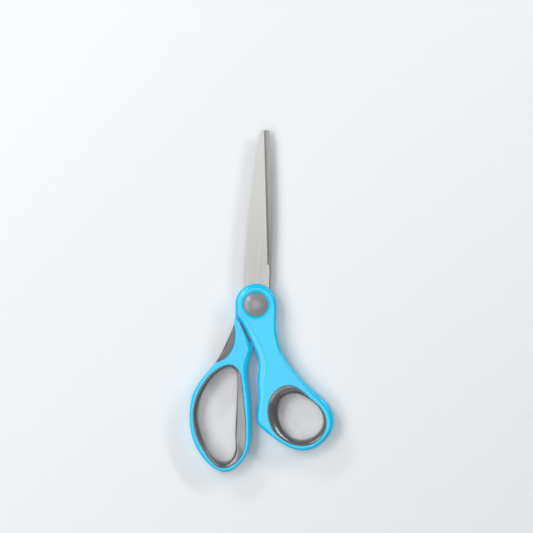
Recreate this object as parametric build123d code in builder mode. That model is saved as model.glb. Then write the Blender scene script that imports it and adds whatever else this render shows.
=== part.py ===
from build123d import *
from math import cos, radians, sin
import os

# Office scissors, 175 mm (7 in) long, lying flat with the thumb ring's lever on top.
#
# Frame: +Z up, +Y along the centre line of the closed blades (tips at +Y), origin on the
# pivot's axis, in the plane of the flat underside (Z = 0). Every outline is drawn for the
# closed scissors. Each lever is then placed on its own plane, turned about the pivot by half
# of the opening that the scissors rest at.

# ---- driving dimensions, millimetres and degrees --------------------------------------------
REST_OPENING = 2.1          # angle between the levers, from closed to the resting pose

THICKNESS = 9.0             # handles, face to face
MID_Z = THICKNESS / 2       # the plane in which the blades slide past each other
BLADE_THICKNESS = 1.5
BLADE_GAP = 0.1             # between the inner faces of the blades
LAYER_GAP = 0.3             # between the handles where one passes over the other

TIP_Y = 89.0                # blade tips
LOOP_BOTTOM_Y = -86.0       # lowest point of the finger loop: 89 + 86 = 175 overall
HEEL = (6.0, 20.5)          # start of the front blade's cutting edge, and its end
TIP = (1.9, TIP_Y - 0.5)
BEVEL_WIDTH = 0.9           # ground bevel of the cutting edge, measured across the blade
BEVEL_DEPTH = 0.9           # and through its thickness

SPINE = [                   # the front blade's back, from its tip to its boss
    (-0.7, TIP_Y - 0.7), (-1.4, 82.5), (-2.85, 69.5), (-4.7, 51.0), (-5.95, 31.0), (-6.6, 8.0),
]

BOSS_RADIUS = 10.5          # round boss of each handle, about the pivot
SWING_RADIUS = 12.3         # inside this radius each handle keeps to its own layer
STOP_GAP = 0.6              # between the handles' shoulders, along X, with the blades closed

RIVET_RADIUS = 2.0
RUNNING_FIT = 0.05          # radial clearance of the front blade on the rivet
RIVET_HEAD_RADIUS = 4.0
RIVET_HEAD_HEIGHT = 0.9
RIVET_HEAD_ROUND = 0.4
WASHER_RADIUS = 4.7
WASHER_THICKNESS = 0.3
WASHER_LIFT = 0.05          # running gap between the front blade and the washer

CAP_RADIUS = 6.15
CAP_FIT = 0.05              # cap in the bore of its boss
CAP_SKIRT = 1.5             # part of each cap that sits below the face of the boss
CAP_DOME = 0.9              # part of the front cap that stands proud
CAP_LEDGE = 1.0             # ledge inside the boss that each cap rests on
CAP_CHAMFER = 0.3

TANG_HOLE_RADIUS = 1.3      # hole that keys each tang into its moulded handle
TANG_HOLE = (5.6, -19.0)
EDGE_ROUND = 2.0            # rolled outer edge of the handles
GRIP_ROUND = 1.4            # rolled edge of the soft grips, towards the opening

# ---- planes of the two levers at rest -------------------------------------------------------
FRONT = Plane.XY.rotated((0, 0, REST_OPENING / 2))
REAR = Plane.XY.rotated((0, 0, -REST_OPENING / 2))

FRONT_BLADE_Z = MID_Z + BLADE_GAP / 2
FRONT_FACE_Z = FRONT_BLADE_Z + BLADE_THICKNESS
REAR_FACE_Z = THICKNESS - FRONT_FACE_Z
WASHER_Z = FRONT_FACE_Z + WASHER_LIFT
RIVET_HEAD_Z = WASHER_Z + WASHER_THICKNESS

# ---- outlines of the closed scissors, each clockwise seen from above ------------------------
# The boss, as the start of both levers' outlines.
BOSS = [
    (BOSS_RADIUS * cos(radians(angle)), BOSS_RADIUS * sin(radians(angle)))
    for angle in range(180, -1, -36)
]
# The shoulder that the front lever turns towards the rear one. The rear lever's mirrors it.
SHOULDER = [(0.3, -23.3), (-2.8, -16.9), (-6.9, -10.0), (-10.0, -4.8)]
# The front lever: down the outer side, round the thumb ring and up the inner side.
THUMB_LEVER = [
    (10.5, -7.0), (11.3, -15.5), (14.6, -24.5), (21.6, -34.0), (31.0, -43.0), (38.3, -49.5),
    (41.5, -58.5), (37.6, -67.7), (27.0, -73.4), (16.0, -70.4), (7.0, -64.4), (3.1, -60.6),
    (2.4, -55.5), (2.8, -48.0), (2.1, -37.0), (2.4, -31.0),
]
# The rear lever: down the inner side, round the finger loop and up the outer side.
FINGER_LEVER = [
    (-0.6, -25.0), (-1.9, -33.5), (-0.5, -43.0), (1.4, -57.0), (2.1, -69.3), (-1.4, -80.2),
    (-9.7, LOOP_BOTTOM_Y), (-20.0, -81.0), (-27.3, -70.3), (-29.8, -57.0), (-28.2, -46.0),
    (-23.8, -38.2), (-17.5, -29.2), (-13.6, -20.0), (-10.3, -9.5),
]
# The soft grips: where each one meets its handle, and the opening through it.
THUMB_GRIP = [
    (15.2, -40.9), (9.6, -45.8), (7.9, -56.0), (11.6, -64.6), (20.6, -70.3), (30.8, -69.9),
    (37.3, -62.8), (36.8, -54.5), (29.7, -46.9),
]
THUMB_OPENING = [
    (19.8, -44.8), (14.3, -48.3), (13.1, -54.5), (15.2, -61.8), (21.6, -67.5), (30.7, -66.7),
    (36.0, -60.0), (33.4, -51.2), (26.5, -46.2),
]
FINGER_GRIP = [
    (-12.0, -31.5), (-18.1, -34.7), (-24.1, -42.3), (-27.8, -54.0), (-26.5, -66.0),
    (-20.3, -77.3), (-11.0, -84.1), (-2.8, -79.0), (-0.3, -69.2), (-1.7, -55.0),
    (-4.3, -40.0), (-7.2, -33.0),
]
FINGER_OPENING = [
    (-12.2, -33.1), (-18.2, -37.2), (-23.7, -46.5), (-25.6, -57.0), (-21.6, -71.4),
    (-13.1, -80.7), (-7.6, -80.0), (-5.5, -76.0), (-5.7, -68.0), (-6.1, -57.0),
    (-6.4, -46.0), (-6.7, -38.5), (-8.2, -34.1),
]
# The border of the forefinger's pad, on the rear lever's outer shoulder.
PAD_BORDER = [
    (-12.0, -9.6), (-10.2, -11.6), (-9.5, -15.5), (-9.7, -20.8), (-11.7, -26.0),
    (-15.2, -29.4), (-20.0, -31.0),
]


def closed_curve(points):
    """The face inside one smooth closed curve."""
    with BuildSketch() as face:
        with BuildLine():
            Spline(*points, periodic=True)
        make_face()
    return face.sketch


def mirrored(points):
    """The same points on the other lever's side, in the opposite order."""
    return [(-x, y) for x, y in reversed(points)]


def blade_outline():
    """A blade with its tang, drawn as the front one, before it is bored for the rivet."""
    with BuildSketch() as face:
        with BuildLine():
            Line((6.3, 8), (6.3, 17))
            Spline((6.3, 17), (6.1, 18.8), HEEL, tangents=[(0, 1), (-0.3, 1)])
            Line(HEEL, TIP)
            ThreePointArc(TIP, (0.7, TIP_Y), SPINE[0])
            Spline(*SPINE)
            Polyline(SPINE[-1], (-6.6, -2), (-2.5, -11), (2, -20), (5.8, -29))
            Polyline((5.8, -29), (11, -28.5), (8.6, -19), (7.6, -11), (6.3, -2), (6.3, 8))
        make_face()
        with Locations(TANG_HOLE):
            Circle(TANG_HOLE_RADIUS, mode=Mode.SUBTRACT)
    return face.sketch


def pad_outline():
    """The crescent of the rear handle that the forefinger's pad takes the place of."""
    with BuildSketch() as face:
        with BuildLine():
            Spline(*PAD_BORDER)
            Polyline(PAD_BORDER[-1], (-24, -31), (-24, -9.6), PAD_BORDER[0])
        make_face()
    return face.sketch


def rear_layer_room():
    """Room that the front handle leaves, in the rear handle's layer, for boss and shoulder."""
    limit = [(x + STOP_GAP, y) for x, y in mirrored(SHOULDER)]
    with BuildSketch() as face:
        with BuildLine():
            Spline(*limit)
            Polyline(limit[-1], (-14, -21), (-14, 0), (8, 0), limit[0])
        make_face()
        Circle(SWING_RADIUS)
    return face.sketch


def rolled_handle(plane, outline):
    """A moulded handle as one block with rolled edges, before it is cut for its neighbours."""
    with BuildPart(mode=Mode.PRIVATE) as block:
        with BuildSketch(plane):
            add(outline)
        extrude(amount=THICKNESS)
        fillet(block.faces().filter_by(Axis.Z).edges(), radius=EDGE_ROUND)
    return block.part


def bevel_cutter(heel, tip, outward):
    """What the grinding wheel takes off a blade, from its heel to its tip."""
    with BuildPart(mode=Mode.PRIVATE) as cutter:
        with BuildSketch(Plane(origin=heel, x_dir=outward, z_dir=tip - heel)):
            with BuildLine():
                Polyline(
                    (-1.5 * BEVEL_WIDTH, -0.5 * BEVEL_DEPTH),
                    (0.5 * BEVEL_WIDTH, 1.5 * BEVEL_DEPTH),
                    (0.5 * BEVEL_WIDTH, -0.5 * BEVEL_DEPTH),
                    close=True,
                )
            make_face()
        extrude(amount=(tip - heel).length)
    return cutter.part


def finish(piece, name):
    """Label a finished piece and write it as its own STEP."""
    piece.part.label = name
    export_step(piece.part, f"parts/{name}.step")


os.makedirs("parts", exist_ok=True)
front_blade_face = blade_outline()
rear_blade_face = mirror(front_blade_face, about=Plane.YZ)
rear_room = rear_layer_room()
front_room = mirror(rear_room, about=Plane.YZ)
thumb_grip_face = closed_curve(THUMB_GRIP)
finger_grip_face = closed_curve(FINGER_GRIP)
front_block = rolled_handle(FRONT, closed_curve(BOSS + THUMB_LEVER + SHOULDER))
rear_block = rolled_handle(REAR, closed_curve(BOSS + mirrored(SHOULDER) + FINGER_LEVER))

# ---- blades ---------------------------------------------------------------------------------
heel = FRONT.from_local_coords(Vector(*HEEL, FRONT_FACE_Z))
tip = FRONT.from_local_coords(Vector(*TIP, FRONT_FACE_Z))
front_bevel = bevel_cutter(heel, tip, (tip - heel).cross(Vector(0, 0, 1)))
with BuildPart() as front_blade:
    with BuildSketch(FRONT.offset(FRONT_BLADE_Z)):
        add(front_blade_face)
        Circle(RIVET_RADIUS + RUNNING_FIT, mode=Mode.SUBTRACT)
    extrude(amount=BLADE_THICKNESS)
    add(front_bevel, mode=Mode.SUBTRACT)
finish(front_blade, "front_blade")

heel = REAR.from_local_coords(Vector(-HEEL[0], HEEL[1], REAR_FACE_Z))
tip = REAR.from_local_coords(Vector(-TIP[0], TIP[1], REAR_FACE_Z))
rear_bevel = bevel_cutter(heel, tip, Vector(0, 0, 1).cross(tip - heel))
with BuildPart() as rear_blade:
    with BuildSketch(REAR.offset(REAR_FACE_Z)):
        add(rear_blade_face)
        Circle(RIVET_RADIUS, mode=Mode.SUBTRACT)
    extrude(amount=BLADE_THICKNESS)
    add(rear_bevel, mode=Mode.SUBTRACT)
finish(rear_blade, "rear_blade")

# ---- moulded handles ------------------------------------------------------------------------
with BuildPart() as front_handle:
    add(front_block)
    with BuildSketch(FRONT):
        add(rear_room)
    extrude(amount=MID_Z + LAYER_GAP / 2, mode=Mode.SUBTRACT)
    with BuildSketch(FRONT.offset(FRONT_BLADE_Z)):
        add(front_blade_face)
    extrude(amount=BLADE_THICKNESS, mode=Mode.SUBTRACT)
    with BuildSketch(FRONT):
        add(thumb_grip_face)
    extrude(amount=THICKNESS, mode=Mode.SUBTRACT)
    with BuildSketch(FRONT):
        Circle(CAP_RADIUS - CAP_LEDGE)
    extrude(amount=THICKNESS, mode=Mode.SUBTRACT)
    with BuildSketch(FRONT.offset(THICKNESS - CAP_SKIRT)):
        Circle(CAP_RADIUS + CAP_FIT)
    extrude(amount=CAP_SKIRT, mode=Mode.SUBTRACT)
finish(front_handle, "front_handle")

pad_face = pad_outline()
with BuildPart() as rear_handle:
    add(rear_block)
    with BuildSketch(REAR.offset(MID_Z - LAYER_GAP / 2)):
        add(front_room)
    extrude(amount=MID_Z + LAYER_GAP / 2, mode=Mode.SUBTRACT)
    with BuildSketch(REAR.offset(REAR_FACE_Z)):
        add(rear_blade_face)
    extrude(amount=BLADE_THICKNESS, mode=Mode.SUBTRACT)
    with BuildSketch(REAR):
        add(finger_grip_face)
        add(pad_face)
    extrude(amount=THICKNESS, mode=Mode.SUBTRACT)
    with BuildSketch(REAR):
        Circle(CAP_RADIUS - CAP_LEDGE)
    extrude(amount=THICKNESS, mode=Mode.SUBTRACT)
    with BuildSketch(REAR):
        Circle(CAP_RADIUS + CAP_FIT)
    extrude(amount=CAP_SKIRT, mode=Mode.SUBTRACT)
finish(rear_handle, "rear_handle")

# ---- soft grips and pad ---------------------------------------------------------------------
for name, plane, outline, opening in (
    ("thumb_ring_grip", FRONT, thumb_grip_face, closed_curve(THUMB_OPENING)),
    ("finger_loop_grip", REAR, finger_grip_face, closed_curve(FINGER_OPENING)),
):
    with BuildPart() as grip:
        with BuildSketch(plane):
            add(outline)
            add(opening, mode=Mode.SUBTRACT)
        extrude(amount=THICKNESS)
        rims = grip.faces().filter_by(Axis.Z).edges().sort_by(SortBy.LENGTH)
        fillet(rims[:2], radius=GRIP_ROUND)
    finish(grip, name)

with BuildPart() as forefinger_pad:
    add(rear_block)
    with BuildSketch(REAR):
        add(pad_face)
    extrude(amount=THICKNESS, mode=Mode.INTERSECT)
finish(forefinger_pad, "forefinger_pad")

# ---- pivot ----------------------------------------------------------------------------------
with BuildPart() as pivot_rivet:
    with BuildSketch(Plane.XY.offset(REAR_FACE_Z - RIVET_HEAD_HEIGHT)):
        Circle(RIVET_HEAD_RADIUS)
    extrude(amount=RIVET_HEAD_HEIGHT)
    with BuildSketch(Plane.XY.offset(REAR_FACE_Z)):
        Circle(RIVET_RADIUS)
    extrude(amount=RIVET_HEAD_Z - REAR_FACE_Z)
    with BuildSketch(Plane.XY.offset(RIVET_HEAD_Z)):
        Circle(RIVET_HEAD_RADIUS)
    extrude(amount=RIVET_HEAD_HEIGHT)
    outer_faces = pivot_rivet.faces().filter_by(Axis.Z).sort_by(Axis.Z)
    fillet(outer_faces[0].edges() + outer_faces[-1].edges(), radius=RIVET_HEAD_ROUND)
finish(pivot_rivet, "pivot_rivet")

with BuildPart() as pivot_washer:
    with BuildSketch(Plane.XY.offset(WASHER_Z)):
        Circle(WASHER_RADIUS)
        Circle(RIVET_RADIUS, mode=Mode.SUBTRACT)
    extrude(amount=WASHER_THICKNESS)
finish(pivot_washer, "pivot_washer")

with BuildPart() as front_cap:
    with BuildSketch(Plane.XZ):
        with BuildLine():
            Line((0, THICKNESS + CAP_DOME), (0, THICKNESS - CAP_SKIRT))
            Line((0, THICKNESS - CAP_SKIRT), (CAP_RADIUS, THICKNESS - CAP_SKIRT))
            Line((CAP_RADIUS, THICKNESS - CAP_SKIRT), (CAP_RADIUS, THICKNESS))
            TangentArc((0, THICKNESS + CAP_DOME), (CAP_RADIUS, THICKNESS), tangent=(1, 0))
        make_face()
    revolve(axis=Axis.Z)
finish(front_cap, "front_cap")

with BuildPart() as rear_cap:
    with BuildSketch():
        Circle(CAP_RADIUS)
    extrude(amount=CAP_SKIRT)
    chamfer(rear_cap.faces().sort_by(Axis.Z)[0].edges(), length=CAP_CHAMFER)
finish(rear_cap, "rear_cap")
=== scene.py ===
import math

import bmesh
import bpy
import numpy as np
from mathutils import Matrix, Vector
from mathutils.geometry import delaunay_2d_cdt


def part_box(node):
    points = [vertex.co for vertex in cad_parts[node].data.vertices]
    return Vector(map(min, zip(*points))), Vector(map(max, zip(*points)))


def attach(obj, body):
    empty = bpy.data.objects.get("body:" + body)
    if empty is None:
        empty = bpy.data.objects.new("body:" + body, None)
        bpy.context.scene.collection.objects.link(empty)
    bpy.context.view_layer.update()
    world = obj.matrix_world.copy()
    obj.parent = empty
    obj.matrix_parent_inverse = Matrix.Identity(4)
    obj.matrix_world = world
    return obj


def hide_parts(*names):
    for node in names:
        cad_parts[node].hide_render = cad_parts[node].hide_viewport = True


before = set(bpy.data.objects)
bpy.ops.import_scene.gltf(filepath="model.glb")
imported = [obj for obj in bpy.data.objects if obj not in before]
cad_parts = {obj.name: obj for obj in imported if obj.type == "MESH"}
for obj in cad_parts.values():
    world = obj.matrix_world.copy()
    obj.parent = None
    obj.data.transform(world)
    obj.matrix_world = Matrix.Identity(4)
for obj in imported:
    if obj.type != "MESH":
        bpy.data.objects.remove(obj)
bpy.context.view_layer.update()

# Office scissors lying on a pale surface, seen from straight above. Lengths are in metres.
# The blades, rivet and washer are the frame's own parts. The moulded handles, the soft grips,
# the pad and the caps are finer meshes, built on sections cut through the frame's parts.

MM = 0.001
REAR, FRONT = "rear_lever", "front_lever"

TOP_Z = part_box("front_handle")[1].z
MID_Z = TOP_Z / 2
MERGE = 0.0005 * MM         # points of one mesh that are closer than this are one point


# ---- outlines, read from the frame ----------------------------------------------------------
def section(node, height):
    """Closed loops where a level plane cuts a CAD node, the longest first."""
    mesh = bmesh.new()
    mesh.from_mesh(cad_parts[node].data)
    bmesh.ops.remove_doubles(mesh, verts=mesh.verts, dist=MERGE)
    everything = mesh.verts[:] + mesh.edges[:] + mesh.faces[:]
    cut = bmesh.ops.bisect_plane(
        mesh, geom=everything, plane_co=(0, 0, height), plane_no=(0, 0, 1),
        clear_outer=True, clear_inner=True,
    )
    edges = dict.fromkeys(e for e in cut["geom_cut"] if isinstance(e, bmesh.types.BMEdge))
    loops = []
    while edges:
        edge = next(iter(edges))
        del edges[edge]
        start, here = edge.verts
        loop = [start.co.copy()]
        while here is not start:
            loop.append(here.co.copy())
            edge = next((e for e in here.link_edges if e in edges), None)
            if edge is None:
                break
            del edges[edge]
            here = edge.other_vert(here)
        loops.append(np.array([(p.x, p.y) for p in loop]))
    mesh.free()
    return sorted(loops, key=lambda loop: -perimeter(loop))


def perimeter(loop):
    return np.linalg.norm(np.roll(loop, -1, 0) - loop, axis=1).sum()


def signed_area(loop):
    after = np.roll(loop, -1, 0)
    return 0.5 * np.sum(loop[:, 0] * after[:, 1] - after[:, 0] * loop[:, 1])


def evenly(loop, spacing, softness):
    """A loop with evenly spaced points, anticlockwise from its lowest, softened by a blur."""
    if signed_area(loop) < 0:
        loop = loop[::-1]
    loop = np.roll(loop, -loop[:, 1].argmin(), 0)
    closed = np.vstack([loop, loop[:1]])
    lengths = np.linalg.norm(np.diff(closed, axis=0), axis=1)
    along = np.concatenate([[0], np.cumsum(lengths)])
    count = int(along[-1] / spacing)
    places = np.arange(count) * along[-1] / count
    points = np.stack([np.interp(places, along, closed[:, i]) for i in (0, 1)], 1)
    waves = np.fft.fftfreq(count, along[-1] / count)
    blur = np.exp(-2 * (math.pi * waves * softness) ** 2)
    return np.fft.ifft(np.fft.fft(points, axis=0) * blur[:, None], axis=0).real


def normals_of(loop):
    """Unit normals of an anticlockwise loop, pointing out of it."""
    along = np.roll(loop, -1, 0) - np.roll(loop, 1, 0)
    out = np.stack([along[:, 1], -along[:, 0]], 1)
    return out / np.linalg.norm(out, axis=1)[:, None]


def inside(points, loop):
    """Which points lie inside a loop."""
    x, y = points[:, 0][:, None], points[:, 1][:, None]
    ax, ay = loop[:, 0], loop[:, 1]
    bx, by = np.roll(ax, -1), np.roll(ay, -1)
    crosses = (ay > y) != (by > y)
    rise = np.where(by == ay, 1, by - ay)
    return (crosses & (x < (bx - ax) * (y - ay) / rise + ax)).sum(1) % 2 == 1


def blended(marks, points):
    """A value at each point, blended from (x, y, value) marks given in millimetres."""
    marks = np.array(marks, float)
    gaps = np.linalg.norm(points[:, None] / MM - marks[None, :, :2], axis=2)
    weights = 1 / (gaps ** 3 + 1)
    return (weights * marks[:, 2]).sum(1) / weights.sum(1)


# ---- mesh building --------------------------------------------------------------------------
ROW_PITCH = 0.866           # between the rows of a triangular grid, in steps along a row
GRID_CLEARANCE = 0.6        # least distance from a ring to a grid point, in the same steps
CHUNK = 200                 # ring points compared with the grid at once


class Shell:
    """Vertices and faces of one closed surface, gathered ring by ring."""

    def __init__(self):
        self.points, self.faces = [], []

    def ring(self, flat, heights):
        start = len(self.points)
        heights = np.broadcast_to(heights, len(flat))
        self.points += [(x, y, z) for (x, y), z in zip(flat, heights)]
        return list(range(start, len(self.points)))

    def join(self, lower, upper):
        """Quads between two rings of equal length, facing out of an anticlockwise loop."""
        count = len(lower)
        for i in range(count):
            j = (i + 1) % count
            self.faces.append((lower[i], lower[j], upper[j], upper[i]))

    def fill(self, rings, flats, spacing, height, facing_up):
        """A triangulated face between an outer ring and the rings of its holes."""
        flat = np.vstack(flats)
        ids = [i for ring in rings for i in ring]
        edges, start = [], 0
        for loop in flats:
            count = len(loop)
            edges += [(start + i, start + (i + 1) % count) for i in range(count)]
            start += count
        low, high = flats[0].min(0), flats[0].max(0)
        xs = np.arange(low[0], high[0], spacing)
        ys = np.arange(low[1], high[1], spacing * ROW_PITCH)
        grid = np.array([
            (x + (row % 2) * spacing / 2, y) for row, y in enumerate(ys) for x in xs
        ])
        keep = inside(grid, flats[0])
        for hole in flats[1:]:
            keep &= ~inside(grid, hole)
        grid = grid[keep]
        nearest = np.full(len(grid), np.inf)
        for some in np.array_split(flat, 1 + len(flat) // CHUNK):
            gaps = np.linalg.norm(grid[:, None] - some[None], axis=2).min(1)
            nearest = np.minimum(nearest, gaps)
        grid = grid[nearest > spacing * GRID_CLEARANCE]
        every = [Vector(p) for p in np.vstack([flat, grid])]
        keep_inside, tolerance = 1, 1e-9
        found = delaunay_2d_cdt(every, edges, [], keep_inside, tolerance)
        places, triangles, sources = found[0], found[2], found[3]
        index = []
        for place, source in zip(places, sources):
            rim = [s for s in source if s < len(flat)]
            if rim:
                index.append(ids[rim[0]])
            else:
                index.append(len(self.points))
                self.points.append((place.x, place.y, height))
        middles = np.array([
            sum((places[i] for i in t), Vector((0, 0))) / len(t) for t in triangles
        ])
        keep = inside(middles, flats[0])
        for hole in flats[1:]:
            keep &= ~inside(middles, hole)
        for triangle, kept in zip(triangles, keep):
            face = [index[i] for i in triangle]
            if kept and len(set(face)) == 3:
                a, b, c = (places[i] for i in triangle)
                up = (b - a).x * (c - a).y - (b - a).y * (c - a).x > 0
                self.faces.append(tuple(face if up == facing_up else face[::-1]))


ROUND_STEPS = 7
BEVEL_STEPS = 5
BEVEL_START = 0.15          # part of a bevel's width over which it turns out of the face
FLAT_MARGIN = 0.15 * MM     # an even strip of face inside each bevel
MARGIN_SHARE = 0.4          # of an edge's width that the strip may take at most
CORNER_SHARE = 0.85         # of an edge's width that its corner may take at most


def edge_form(width, slope, corner):
    """Insets and drops of an edge, from its wall to the face: a rounded corner, then a bevel."""
    corner = np.minimum(corner, CORNER_SHARE * width)
    bevel = width - corner
    rows = []
    for step in range(ROUND_STEPS + 1):
        turn = math.pi / 2 * step / ROUND_STEPS
        inset = corner * (1 - math.cos(turn))
        rows.append((inset, slope * (width - inset) + corner * (1 - math.sin(turn))))
    for step in range(1, BEVEL_STEPS + 1):
        left = 1 - step / BEVEL_STEPS
        fall = left ** 2 / (left + BEVEL_START) * (1 + BEVEL_START)
        rows.append((corner + bevel * (1 - left), slope * bevel * fall))
    rows.append((width + np.minimum(FLAT_MARGIN, MARGIN_SHARE * width), 0 * width))
    return rows


def plate(name, edges, top_z, bottom_z, top_shaped=True, bottom_shaped=False, spacing=1.2):
    """A moulded plate. edges are (loop, form); the first is the outline, the others holes.

    A face that isn't shaped keeps its full outline, with a sharp edge. spacing is the grid's,
    in millimetres.
    """
    shell = Shell()
    tops, bottoms = [], []
    for order, (loop, form) in enumerate(edges):
        inward = normals_of(loop) * (1 if order else -1)
        # Rings of a hole run clockwise, so that its wall faces into the hole.
        turn = slice(None, None, -1 if order else 1)
        ends = []
        for face_z, sign, shaped in ((bottom_z, -1, bottom_shaped), (top_z, 1, top_shaped)):
            rings = []
            for inset, drop in form if shaped else [(np.zeros(len(loop)), 0)]:
                flat = (loop + inward * inset[:, None])[turn]
                height = face_z - sign * np.broadcast_to(drop, len(loop))[turn]
                rings.append((shell.ring(flat, height), flat))
            for (outer, _), (inner, _) in zip(rings, rings[1:]):
                shell.join(outer, inner) if sign > 0 else shell.join(inner, outer)
            ends.append(rings)
        shell.join(ends[0][0][0], ends[1][0][0])
        bottoms.append(ends[0][-1])
        tops.append(ends[1][-1])
    for ends, face_z, up in ((tops, top_z, True), (bottoms, bottom_z, False)):
        shell.fill([r for r, _ in ends], [f for _, f in ends], spacing * MM, face_z, up)
    return new_piece(name, shell.points, shell.faces)


def new_piece(name, points, faces):
    mesh = bpy.data.meshes.new(name)
    mesh.from_pydata([tuple(p) for p in points], [], faces)
    tidy = bmesh.new()
    tidy.from_mesh(mesh)
    bmesh.ops.remove_doubles(tidy, verts=tidy.verts, dist=MERGE)
    # Where a ring folds at a sharp corner, a fill can leave an opening of a few sides.
    bmesh.ops.holes_fill(tidy, edges=[e for e in tidy.edges if e.is_boundary], sides=6)
    bmesh.ops.recalc_face_normals(tidy, faces=tidy.faces)
    tidy.to_mesh(mesh)
    tidy.free()
    mesh.polygons.foreach_set("use_smooth", [True] * len(mesh.polygons))
    piece = bpy.data.objects.new(name, mesh)
    bpy.context.scene.collection.objects.link(piece)
    return piece


def joined(piece, other):
    """The union of two closed shells, as one mesh on the first piece."""
    union = piece.modifiers.new("union", "BOOLEAN")
    union.operation, union.object, union.solver = "UNION", other, "EXACT"
    bpy.context.view_layer.update()
    solved = piece.evaluated_get(bpy.context.evaluated_depsgraph_get())
    mesh = bpy.data.meshes.new_from_object(solved)
    piece.modifiers.clear()
    piece.data = mesh
    tidy = bmesh.new()
    tidy.from_mesh(mesh)
    bmesh.ops.remove_doubles(tidy, verts=tidy.verts, dist=2 * MERGE)
    bmesh.ops.dissolve_degenerate(tidy, edges=tidy.edges, dist=MERGE)
    tidy.to_mesh(mesh)
    tidy.free()
    bpy.data.objects.remove(other)
    return piece


def finish_normals(piece, sharp_degrees=35):
    """Flat faces stay flat and rolls stay smooth."""
    piece.data.set_sharp_from_angle(angle=math.radians(sharp_degrees))
    weighted = piece.modifiers.new("weighted normals", "WEIGHTED_NORMAL")
    weighted.keep_sharp = True
    weighted.weight = 90        # large faces count for most
    return piece


ROOM_REACH = 1.4            # how many widths in from the loop its room is tested
ROOM_NEED = 0.9             # share of that reach that has to be clear of the loop
ROOM_STEP = 0.82            # what a crowded width is multiplied by
ROOM_TRIES = 14
ROOM_SPREAD = 9             # neighbours on each side that a reduced width spreads to


def room_for(loop, width, hole=False):
    """Roll widths, reduced where the loop is too narrow or too sharp to hold them."""
    inward = normals_of(loop) * (1 if hole else -1)
    width = width.copy()
    for _ in range(ROOM_TRIES):
        inset = loop + inward * width[:, None] * ROOM_REACH
        nearest = np.linalg.norm(inset[:, None] - loop[None], axis=2).min(1)
        crowded = nearest < ROOM_NEED * ROOM_REACH * width
        if not crowded.any():
            break
        width[crowded] *= ROOM_STEP
    count = ROOM_SPREAD
    padded = np.concatenate([width[-count:], width, width[:count]])
    lowest = np.array([padded[i:i + 2 * count + 1].min() for i in range(len(width))])
    padded = np.concatenate([lowest[-count:], lowest, lowest[:count]])
    kernel = np.hanning(2 * count + 3)[1:-1]
    return np.convolve(padded, kernel / kernel.sum(), "valid")


LEAST_WIDTH = 0.1 * MM      # of an edge that has to make room for another


def clear_of(loop, widths, others):
    """Widths that leave the others, (loop, millimetres it needs round it), their own room."""
    for other, need in others:
        away = np.linalg.norm(loop[:, None] - other[None], axis=2).min(1)
        room = away - need * MM - 3 * FLAT_MARGIN
        widths = np.minimum(widths, np.maximum(room, LEAST_WIDTH))
    return widths


def edge(loop, widths, hole=False, slope=0.0, corner=1.3):
    """An edge of a plate, with a bevel of one slope inside a corner of so many millimetres."""
    return loop, edge_form(room_for(loop, widths, hole), slope, corner * MM)


def circle(radius, count=120):
    angles = np.arange(count) * 2 * math.pi / count
    return np.stack([radius * np.cos(angles), radius * np.sin(angles)], 1)


def lathe(name, profile, count=144):
    """A turned piece about the pivot; profile runs from the axis out and back to it."""
    points, faces, rings = [], [], []
    for radius, z in profile:
        if radius == 0:
            rings.append([len(points)] * count)
            points.append((0, 0, z))
        else:
            rings.append(list(range(len(points), len(points) + count)))
            points += [(x, y, z) for x, y in circle(radius, count)]
    for lower, upper in zip(rings, rings[1:]):
        for i in range(count):
            j = (i + 1) % count
            # A quad that touches the axis has one corner twice, and becomes a triangle.
            faces.append(tuple(dict.fromkeys((lower[i], lower[j], upper[j], upper[i]))))
    return new_piece(name, points, faces)


# ---- moulded handles ------------------------------------------------------------------------
UPPER_Z = 6.5 * MM          # heights of the sections through a handle's two layers
LOWER_Z = 2.5 * MM
SPACING = 0.5 * MM          # between the points of an outline
SOFTNESS = 0.35 * MM        # of the blur that rounds an outline's corners
SPLIT_GAP = 0.15 * MM       # each handle stays this far from the middle where they cross
PARTING = 0.03 * MM         # ledge of the mould's parting line
LIP = 0.3                   # roll where a handle meets its grip, in millimetres

# Widths of the rolled top edges: x, y and width, in millimetres, at places round the outlines.
FRONT_ROLLS = [
    (0, 10.5, 2.2), (-10.5, 2, 2.4), (10.5, 0, 1.8), (-9, -7, 3.0), (-5, -13, 3.6),
    (-1.5, -19.5, 4.0), (1, -25, 4.4), (2.8, -32, 4.6), (2.5, -40, 4.2), (3, -48, 3.6),
    (3, -56, 2.6), (4, -62, 2.0), (10.7, -8, 1.3), (11.7, -15.5, 1.4), (15, -24.5, 1.5),
    (22, -34, 1.6), (31.5, -42.5, 2.4), (39, -49, 2.8), (42.5, -58, 2.3), (39, -67, 1.8),
    (28, -73, 1.5), (17, -70, 1.5), (8, -64.5, 1.8),
]
REAR_ROLLS = [
    (-10.5, -10, 0.8), (-10, -13, 0.35), (-10, -20, 0.35), (-13, -28, 0.35), (-18, -30.5, 0.5),
    (-24.5, -38, 1.5), (-29, -46, 1.5), (-31, -57, 1.5), (-29, -70, 1.5), (-21.5, -80.5, 1.5),
    (-11.3, -85.8, 1.6), (-3, -80, 1.8), (0.8, -69, 1.8), (0.3, -57, 1.7), (-1.5, -43, 2.0),
    (-2.6, -33.5, 2.6), (-1.2, -25, 3.0), (-2.5, -20, 2.0), (-5, -14.5, 1.2), (-8, -10.5, 0.8),
]
CAP_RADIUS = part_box("front_cap")[1].x
CAP_GAP = 0.06 * MM
DISH = 1.6                  # width of the shallow dish round a cap, in millimetres
DISH_SLOPE = 0.16
DISH_CORNER = 0.2
BEVEL = 0.33                # slope of the bevels along the top edges
UNDERSIDE_ROLL = 1.8        # width of the rolled edges underneath, in millimetres
UNDERSIDE_BEVEL = 0.2


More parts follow.
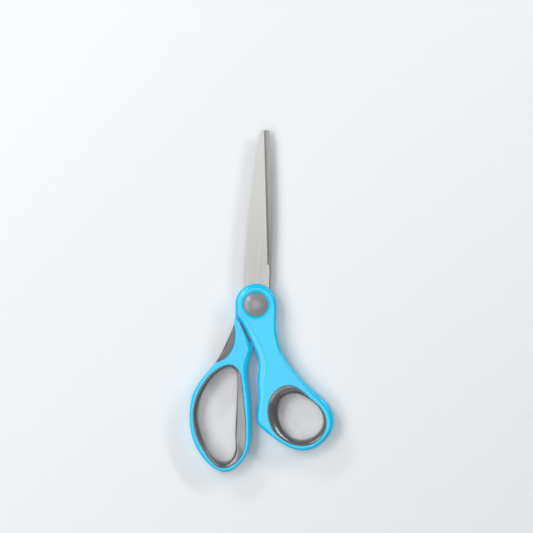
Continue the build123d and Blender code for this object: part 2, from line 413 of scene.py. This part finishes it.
def handle(name, node, grip, main_z, second_z, rolls, upper_is_main):
    """A moulded handle: a main layer with the boss, and a second layer under the shank."""
    outline = evenly(section(node, main_z)[0], SPACING, SOFTNESS)
    partial = evenly(section(node, second_z)[0], SPACING, SOFTNESS)
    hole = evenly(section(grip, MID_Z)[0], SPACING, SOFTNESS)
    inset = partial - normals_of(partial) * PARTING
    wall = hole + normals_of(hole) * PARTING
    bore = circle(CAP_RADIUS + CAP_GAP)
    lip = np.full(len(hole), LIP * MM)
    dish = np.full(len(bore), DISH * MM)

    def upper(loop, others):
        widths = clear_of(loop, blended(rolls, loop) * MM, others)
        return edge(loop, widths, slope=BEVEL)

    def under(loop, others):
        widths = clear_of(loop, np.full(len(loop), UNDERSIDE_ROLL * MM), others)
        return edge(loop, widths, slope=UNDERSIDE_BEVEL)

    openings = [(hole, LIP), (bore, DISH)]
    main = [
        edge(hole, lip, hole=True, corner=LIP),
        edge(bore, dish, hole=True, slope=DISH_SLOPE, corner=DISH_CORNER),
    ]
    second = [edge(wall, lip, hole=True, corner=LIP)]
    if upper_is_main:
        main.insert(0, upper(outline, openings))
        second.insert(0, under(inset, openings[:1]))
        body = plate(name, main, TOP_Z, MID_Z + SPLIT_GAP)
        other = plate("second", second, MID_Z + 2 * SPLIT_GAP, 0, False, True)
    else:
        main.insert(0, under(outline, openings))
        second.insert(0, upper(inset, openings[:1]))
        body = plate(name, main, MID_Z - SPLIT_GAP, 0, False, True)
        other = plate("second", second, TOP_Z, MID_Z - 2 * SPLIT_GAP)
    return finish_normals(joined(body, other))


front_handle = handle(
    "front_handle_moulding", "front_handle", "thumb_ring_grip",
    UPPER_Z, LOWER_Z, FRONT_ROLLS, True,
)
rear_handle = handle(
    "rear_handle_moulding", "rear_handle", "finger_loop_grip",
    LOWER_Z, UPPER_Z, REAR_ROLLS, False,
)
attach(front_handle, FRONT)
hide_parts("front_handle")
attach(rear_handle, REAR)
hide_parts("rear_handle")


# ---- soft grips -----------------------------------------------------------------------------
GRIP_EMBED = 0.10 * MM      # how far a soft piece reaches into the handle
GRIP_DROP = 0.15 * MM       # its edge lies this far below the handle's face
GRIP_GROOVE = 0.45 * MM     # depth of the groove between grip and handle
GROOVE_WIDTH = 0.04 * MM
SEAM = 0.28 * MM            # radius of the grip's outer edge, beside the groove
SEAM_TURNS = (20, 45, 70)   # degrees round that edge
RIM_SPACING = 0.4 * MM
OPENING_SPACING = 0.2 * MM
BAND_STEPS = 16
MOST_FALL = 0.5             # share of its height that a band may lose by its slope


def facing(loop, centre, targets):
    """The points of a loop that lie in the same directions from a centre as the targets do."""
    arms = loop - centre
    angles = np.arctan2(arms[:, 1], arms[:, 0])
    reach = np.linalg.norm(arms, axis=1)
    order = np.argsort(angles)
    aims = targets - centre
    at = np.interp(
        np.arctan2(aims[:, 1], aims[:, 0]), angles[order], reach[order], period=2 * math.pi
    )
    return centre + aims / np.linalg.norm(aims, axis=1)[:, None] * at[:, None]


def ring_grip(name, node, centre, fullness, slopes):
    """A rounded ring from the handle's face down to the opening, alike above and below.

    fullness is the exponent of the curve across the band: 1 is a straight slope, 2 is round.
    slopes are how steeply the band falls evenly on its way to the opening.
    """
    rim, opening = section(node, MID_Z)[:2]
    rim = evenly(rim, RIM_SPACING, SOFTNESS)
    opening = evenly(opening, OPENING_SPACING, SOFTNESS)
    centre = np.array(centre) * MM
    inner = facing(opening, centre, rim)
    across = inner - rim
    band = np.linalg.norm(across, axis=1)
    toward = across / band[:, None]
    rise = TOP_Z - MID_Z - GRIP_DROP
    power = blended(fullness, rim)
    width = np.linalg.norm(rim[:, None] - opening[None], axis=2).min(1)
    tilt = np.minimum(blended(slopes, rim) * width / rise, MOST_FALL)
    # Each ring's points and its heights over the middle, from the groove to the opening.
    groove = np.full(len(rim), rise - GRIP_GROOVE)
    rings = [(rim - toward * GRIP_EMBED, groove), (rim + toward * GROOVE_WIDTH, groove)]
    for turn in SEAM_TURNS:
        lean = math.radians(turn)
        inset = GROOVE_WIDTH + SEAM * (1 - math.cos(lean))
        rings.append((rim + toward * inset, np.full(len(rim), rise - SEAM * (1 - math.sin(lean)))))
    start = GROOVE_WIDTH + SEAM
    for step in range(BAND_STEPS + 1):
        turn = math.pi / 2 * step / BAND_STEPS
        way = np.sin(turn) ** (2 / power)
        height = np.cos(turn) ** (2 / power)
        place = rim + toward * (start + (band - start) * way)[:, None]
        rings.append((place, rise * height * (1 - tilt * way)))
    shell = Shell()
    above = [shell.ring(flat, MID_Z + height) for flat, height in rings]
    below = [shell.ring(flat, MID_Z - height) for flat, height in rings[::-1]]
    chain = above + below[1:]
    for lower, upper in zip(chain, chain[1:]):
        shell.join(lower, upper)
    shell.join(chain[-1], chain[0])
    return finish_normals(new_piece(name, shell.points, shell.faces), 50)


# Fullness and slope of the bands: x and y in millimetres, and the value there.
THUMB_FULLNESS = [
    (9, -54, 2.0), (11, -45, 3.2), (16, -41, 3.6), (23, -43.5, 2.6), (38, -55, 2.0),
    (37, -64, 1.9), (25, -70, 1.9), (12, -64, 2.0),
]
THUMB_SLOPE = [
    (9, -54, 0.26), (11, -45, 0.1), (16, -41, 0.08), (23, -43.5, 0.14), (38, -55, 0.25),
    (37, -64, 0.22), (25, -70, 0.26), (12, -64, 0.27),
]
FINGER_FULLNESS = [
    (-28, -55, 2.0), (-12, -32, 2.2), (-6, -36, 9.0), (-4, -42, 12.0), (-2, -50, 12.0),
    (-2, -62, 12.0), (-1.5, -74, 10.0), (-5, -79, 5.0), (-12, -83, 2.0),
]
FINGER_SLOPE = [
    (-28, -55, 0.2), (-12, -32, 0.25), (-6, -36, 0.32), (-2, -50, 0.34), (-2, -62, 0.36),
    (-1.5, -74, 0.36), (-5, -79, 0.3), (-12, -83, 0.25),
]

thumb_grip = ring_grip(
    "thumb_ring_soft_grip", "thumb_ring_grip", (24.5, -56.0), THUMB_FULLNESS, THUMB_SLOPE,
)
finger_grip = ring_grip(
    "finger_loop_soft_grip", "finger_loop_grip", (-13.0, -58.0), FINGER_FULLNESS, FINGER_SLOPE,
)
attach(thumb_grip, FRONT)
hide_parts("thumb_ring_grip")
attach(finger_grip, REAR)
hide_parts("finger_loop_grip")


# ---- forefinger pad -------------------------------------------------------------------------
PAD_SPACING = 0.3 * MM
PAD_SOFTNESS = 0.2 * MM
PAD_SLOPE = 0.19            # how steeply the pad falls from the handle to its outer edge
PAD_BEVEL = 0.45            # slope of the roll along that edge
PAD_CORNER = 1.0
PAD_ROLLS = [
    (-9.8, -11, 0.2), (-10.6, -16, 0.15), (-10.8, -21, 0.15), (-12.5, -26, 0.15),
    (-16, -29.5, 0.2), (-19, -30.3, 0.4), (-17, -27, 1.6), (-14.5, -22, 1.8), (-12.2, -16, 1.5),
]
pad_outline = evenly(section("forefinger_pad", MID_Z)[0], PAD_SPACING, PAD_SOFTNESS)
pad_widths = blended(PAD_ROLLS, pad_outline) * MM
pad_edge = edge(pad_outline, pad_widths, slope=PAD_BEVEL, corner=PAD_CORNER)
pad = plate(
    "forefinger_soft_pad", [pad_edge], TOP_Z - GRIP_DROP, GRIP_DROP, True, True, spacing=0.8,
)
beside_handle = pad_outline[normals_of(pad_outline)[:, 0] > 0]
for vertex in pad.data.vertices:
    across = np.linalg.norm(beside_handle - np.array(vertex.co.xy), axis=1).min()
    vertex.co.z = MID_Z + (vertex.co.z - MID_Z) * (1 - PAD_SLOPE * across / MID_Z)
finish_normals(pad, 50)
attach(pad, REAR)
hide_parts("forefinger_pad")


# ---- pivot caps -----------------------------------------------------------------------------
FRONT_CAP_LOW, FRONT_CAP_HIGH = (corner.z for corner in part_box("front_cap"))
REAR_CAP_LOW, REAR_CAP_HIGH = (corner.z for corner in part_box("rear_cap"))
CAP_RIM = 0.35 * MM         # radius of a cap's rounded rim
CAP_CROWN = 1.0 * MM        # rise of the front cap's dome inside its rim
REAR_CROWN = 0.12 * MM
CAP_RINGS = 12


def cap_profile(skirt_z, rim_z, crown, up):
    """Radius and height from the axis under the cap, up its skirt and over its face."""
    profile = [(0, skirt_z), (CAP_RADIUS, skirt_z)]
    for turn in range(0, 91, 10):
        lean = math.radians(turn)
        radius = CAP_RADIUS - CAP_RIM * (1 - math.cos(lean))
        profile.append((radius, rim_z - up * CAP_RIM * (1 - math.sin(lean))))
    flat = CAP_RADIUS - CAP_RIM
    for step in range(CAP_RINGS - 1, -1, -1):
        part = step / CAP_RINGS
        profile.append((flat * part, rim_z + up * crown * (1 - part ** 2)))
    return profile


front_cap = lathe(
    "front_pivot_cap",
    cap_profile(FRONT_CAP_LOW, FRONT_CAP_HIGH - CAP_CROWN, CAP_CROWN, 1),
)
rear_cap = lathe(
    "rear_pivot_cap",
    cap_profile(REAR_CAP_HIGH, REAR_CAP_LOW + REAR_CROWN, REAR_CROWN, -1),
)
for cap, body, node in ((front_cap, FRONT, "front_cap"), (rear_cap, REAR, "rear_cap")):
    finish_normals(cap, 60)
    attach(cap, body)
    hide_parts(node)


# ---- materials ------------------------------------------------------------------------------
LOW, HIGH = 0.3, 0.7        # the middle range of a noise texture, where most of it lies


def srgb(red, green, blue):
    """A colour given as it looks, 0 to 255, as the linear values that the shader takes."""
    linear = [
        c / 12.92 if c <= 0.04045 else ((c + 0.055) / 1.055) ** 2.4
        for c in (red / 255, green / 255, blue / 255)
    ]
    return (*linear, 1)


def shader_of(material):
    return material.node_tree.nodes["Principled BSDF"]


def new_material(name, colour, roughness, metallic=0.0, **sockets):
    material = bpy.data.materials.new(name)
    material.use_nodes = True
    shader = shader_of(material)
    shader.inputs["Base Color"].default_value = colour
    shader.inputs["Roughness"].default_value = roughness
    shader.inputs["Metallic"].default_value = metallic
    for socket, value in sockets.items():
        shader.inputs[socket.replace("_", " ")].default_value = value
    return material


def add_node(material, kind, **inputs):
    node = material.node_tree.nodes.new(kind)
    for socket, value in inputs.items():
        node.inputs[socket.replace("_", " ")].default_value = value
    return node


def link(material, source, target, out=0, into=0):
    material.node_tree.links.new(source.outputs[out], target.inputs[into])


def noise(material, scale, detail=3.0, stretch=(1, 1, 1)):
    """Noise in the object's own space, with so many waves to a metre."""
    place = add_node(material, "ShaderNodeTexCoord")
    mapping = add_node(material, "ShaderNodeMapping", Scale=stretch)
    texture = add_node(material, "ShaderNodeTexNoise", Scale=scale, Detail=detail)
    link(material, place, mapping, "Object", "Vector")
    link(material, mapping, texture, "Vector", "Vector")
    return texture


def rough(material, source, low, high):
    """Roughness from low to high over a source's middle range."""
    spread = add_node(
        material, "ShaderNodeMapRange", From_Min=LOW, From_Max=HIGH, To_Min=low, To_Max=high,
    )
    link(material, source, spread, "Fac", "Value")
    link(material, spread, shader_of(material), "Result", "Roughness")


def ramped(material, source, low, high):
    """A colour output, from low to high over a source's middle range."""
    ramp = add_node(material, "ShaderNodeValToRGB")
    for element, position, colour in zip(ramp.color_ramp.elements, (LOW, HIGH), (low, high)):
        element.position = position
        element.color = colour
    link(material, source, ramp, "Fac", "Fac")
    return ramp.outputs["Color"]


def masked(material, space, axis, start, end):
    """0 before start and 1 after end, along an axis of a texture space."""
    place = add_node(material, "ShaderNodeTexCoord")
    split = add_node(material, "ShaderNodeSeparateXYZ")
    spread = add_node(material, "ShaderNodeMapRange", From_Min=start, From_Max=end)
    link(material, place, split, space, "Vector")
    link(material, split, spread, axis, "Value")
    return spread


def mixed(material, mask, first, second):
    """A colour output, first where the mask is 0 and second where it is 1."""
    mix = add_node(material, "ShaderNodeMix")
    mix.data_type = "RGBA"
    # The node has sockets for each data type. These are the factor, the colours and the result.
    factor, first_in, second_in = mix.inputs[0], mix.inputs[6], mix.inputs[7]
    result = mix.outputs[2]
    material.node_tree.links.new(mask.outputs["Result"], factor)
    material.node_tree.links.new(first, first_in)
    material.node_tree.links.new(second, second_in)
    return result


def tinted(material, source, low, high):
    """Base colour from low to high over a source's middle range."""
    colour = ramped(material, source, low, high)
    material.node_tree.links.new(colour, shader_of(material).inputs["Base Color"])


def bumped(material, source, strength, distance):
    bump = add_node(material, "ShaderNodeBump", Strength=strength, Distance=distance)
    link(material, source, bump, "Fac", "Height")
    link(material, bump, shader_of(material), "Normal", "Normal")


def dress(piece, material):
    piece.data.materials.clear()
    piece.data.materials.append(material)


def handle_plastic():
    """Glossy moulded plastic: faint flow marks, and a slight unevenness in its gloss."""
    material = new_material("handle_plastic_gloss", srgb(4, 190, 234), 0.13, IOR=1.5)
    flow = noise(material, 45, 2)
    tinted(material, flow, srgb(0, 187, 231), srgb(12, 194, 236))
    rough(material, noise(material, 900, 4), 0.10, 0.17)
    bumped(material, noise(material, 60, 1), 0.25, 0.15 * MM)
    return material


def grip_rubber():
    """Satin soft-touch rubber with a very fine grain."""
    material = new_material("soft_grip_rubber", srgb(82, 81, 84), 0.24, IOR=1.9)
    tinted(material, noise(material, 70, 3), srgb(77, 76, 79), srgb(87, 86, 89))
    rough(material, noise(material, 1500, 3), 0.2, 0.27)
    bumped(material, noise(material, 5000, 3), 0.1, 0.01 * MM)
    return material


def cap_plastic():
    """Satin grey plastic, faintly brushed across."""
    material = new_material("pivot_cap_satin", srgb(128, 130, 133), 0.18, IOR=1.6)
    grain = noise(material, 900, 4, (0.2, 3, 1))
    tinted(material, grain, srgb(123, 125, 128), srgb(133, 135, 138))
    rough(material, grain, 0.19, 0.28)
    bumped(material, grain, 0.15, 0.01 * MM)
    return material


def blade_steel(name, inner):
    """Satin steel ground along the blade, darker towards the pivot, with painted shade: its inner
    face and the steel behind the pivot are painted darker.

    inner is 1 where the inner face looks up and -1 where it looks down.
    """
    material = new_material(name, srgb(176, 175, 172), 0.4, metallic=1.0)
    ground = noise(material, 1400, 4, (1, 0.03, 1))
    along = masked(material, "Object", "Y", 20 * MM, 85 * MM)
    outer = mixed(
        material, along, ramped(material, ground, srgb(158, 158, 156), srgb(172, 171, 169)),
        ramped(material, ground, srgb(176, 177, 173), srgb(190, 191, 187)),
    )
    # Painted shade: the inner face is painted darker, standing in for the other blade's shadow
    # over it.
    inner_painted_shade = mixed(
        material, along, ramped(material, ground, srgb(113, 112, 112), srgb(125, 124, 124)),
        ramped(material, ground, srgb(140, 140, 139), srgb(154, 154, 153)),
    )
    # Painted shade: the steel behind the pivot is painted dark grey, standing in for the shade
    # deep in the narrow gap between the handles.
    tang_painted_shade = add_node(material, "ShaderNodeRGB").outputs[0]
    tang_painted_shade.default_value = srgb(98, 97, 100)
    facing_in = masked(material, "Normal", "Z", 0.2 * inner, 0.6 * inner)
    painted_shade_on_tang = masked(material, "Object", "Y", -5 * MM, -8 * MM)
    face = mixed(material, facing_in, outer, inner_painted_shade)
    final = mixed(material, painted_shade_on_tang, face, tang_painted_shade)
    material.node_tree.links.new(final, shader_of(material).inputs["Base Color"])
    rough(material, ground, 0.34, 0.46)
    bumped(material, ground, 0.15, 0.01 * MM)
    return material


def turned_steel():
    """Bright turned steel of the rivet and its washer."""
    material = new_material("rivet_turned_steel", srgb(150, 150, 152), 0.3, metallic=1.0)
    rings = noise(material, 2500, 2)
    tinted(material, rings, srgb(140, 140, 142), srgb(160, 160, 162))
    rough(material, rings, 0.25, 0.4)
    return material


for pieces, finish in (
    ((front_handle, rear_handle), handle_plastic()),
    ((thumb_grip, finger_grip, pad), grip_rubber()),
    ((front_cap, rear_cap), cap_plastic()),
):
    for piece in pieces:
        dress(piece, finish)
turned = turned_steel()
finishes = {
    "front_blade": blade_steel("front_blade_satin", -1),
    "rear_blade": blade_steel("rear_blade_satin", 1),
    "pivot_rivet": turned,
    "pivot_washer": turned,
}
for node, finish in finishes.items():
    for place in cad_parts[node].material_slots:
        place.material = finish


# ---- camera ---------------------------------------------------------------------------------
LEAN = math.radians(3.0)    # the blades lean this far clockwise in the view
VIEW_WIDTH = 271.26 * MM
VIEW_CENTRE = Vector((4.32 * MM, 19.55 * MM, 5 * MM))
CAMERA_DISTANCE = 1.3
SENSOR = 36

camera_data = bpy.data.cameras.new("camera")
camera = bpy.data.objects.new("camera", camera_data)
bpy.context.scene.collection.objects.link(camera)
camera.matrix_world = (
    Matrix.Translation(VIEW_CENTRE + Vector((0, 0, CAMERA_DISTANCE)))
    @ Matrix.Rotation(LEAN, 4, "Z")
)
camera_data.sensor_width = SENSOR
camera_data.lens = SENSOR * CAMERA_DISTANCE / VIEW_WIDTH
camera_data.clip_start = 0.01
bpy.context.scene.camera = camera


# ---- floor and light ------------------------------------------------------------------------
FLOOR_GAP = 0.05 * MM
FLOOR_HALF = 3              # half of the floor's width
corners = [(x * FLOOR_HALF, y * FLOOR_HALF, 0) for x, y in ((-1, -1), (1, -1), (1, 1), (-1, 1))]
floor_mesh = bpy.data.meshes.new("floor")
floor_mesh.from_pydata(corners, [], [(0, 1, 2, 3)])
floor = bpy.data.objects.new("floor", floor_mesh)
bpy.context.scene.collection.objects.link(floor)
floor.location.z = -FLOOR_GAP
dress(floor, new_material("pale_floor", srgb(226, 228, 230), 0.9))

world = bpy.data.worlds.new("studio")
world.use_nodes = True
background = world.node_tree.nodes["Background"]
background.inputs["Color"].default_value = (0.96, 0.98, 1, 1)
background.inputs["Strength"].default_value = 0.2
bpy.context.scene.world = world
bpy.context.scene.view_settings.view_transform = "Standard"


def softbox(name, tilt, toward, distance, size, radiance):
    """A flat light aimed at the pivot. In degrees, tilt is its angle from straight overhead,
    and toward is its direction round the pivot, anticlockwise from +X.
    """
    data = bpy.data.lights.new(name, "AREA")
    data.shape = "RECTANGLE"
    data.size, data.size_y = size
    data.energy = radiance * math.pi * size[0] * size[1]
    light = bpy.data.objects.new(name, data)
    bpy.context.scene.collection.objects.link(light)
    tilt, toward = math.radians(tilt), math.radians(toward)
    place = Vector((
        math.sin(tilt) * math.cos(toward), math.sin(tilt) * math.sin(toward), math.cos(tilt),
    )) * distance
    light.location = place
    light.rotation_euler = (-place).to_track_quat("-Z", "Y").to_euler()


softbox("overhead", 2, 270, 1.6, (0.8, 0.8), 2.42)
softbox("left_key", 38, 176, 1.1, (1.3, 0.5), 3.3)
softbox("near_fill", 46, 272, 1.1, (1.0, 0.45), 0.9)
softbox("left_spot", 34, 146, 1.0, (0.2, 0.16), 9)
softbox("right_strip", 60, 42, 1.0, (0.55, 0.07), 27)
softbox("left_strip", 64, 130, 1.0, (0.5, 0.07), 22)
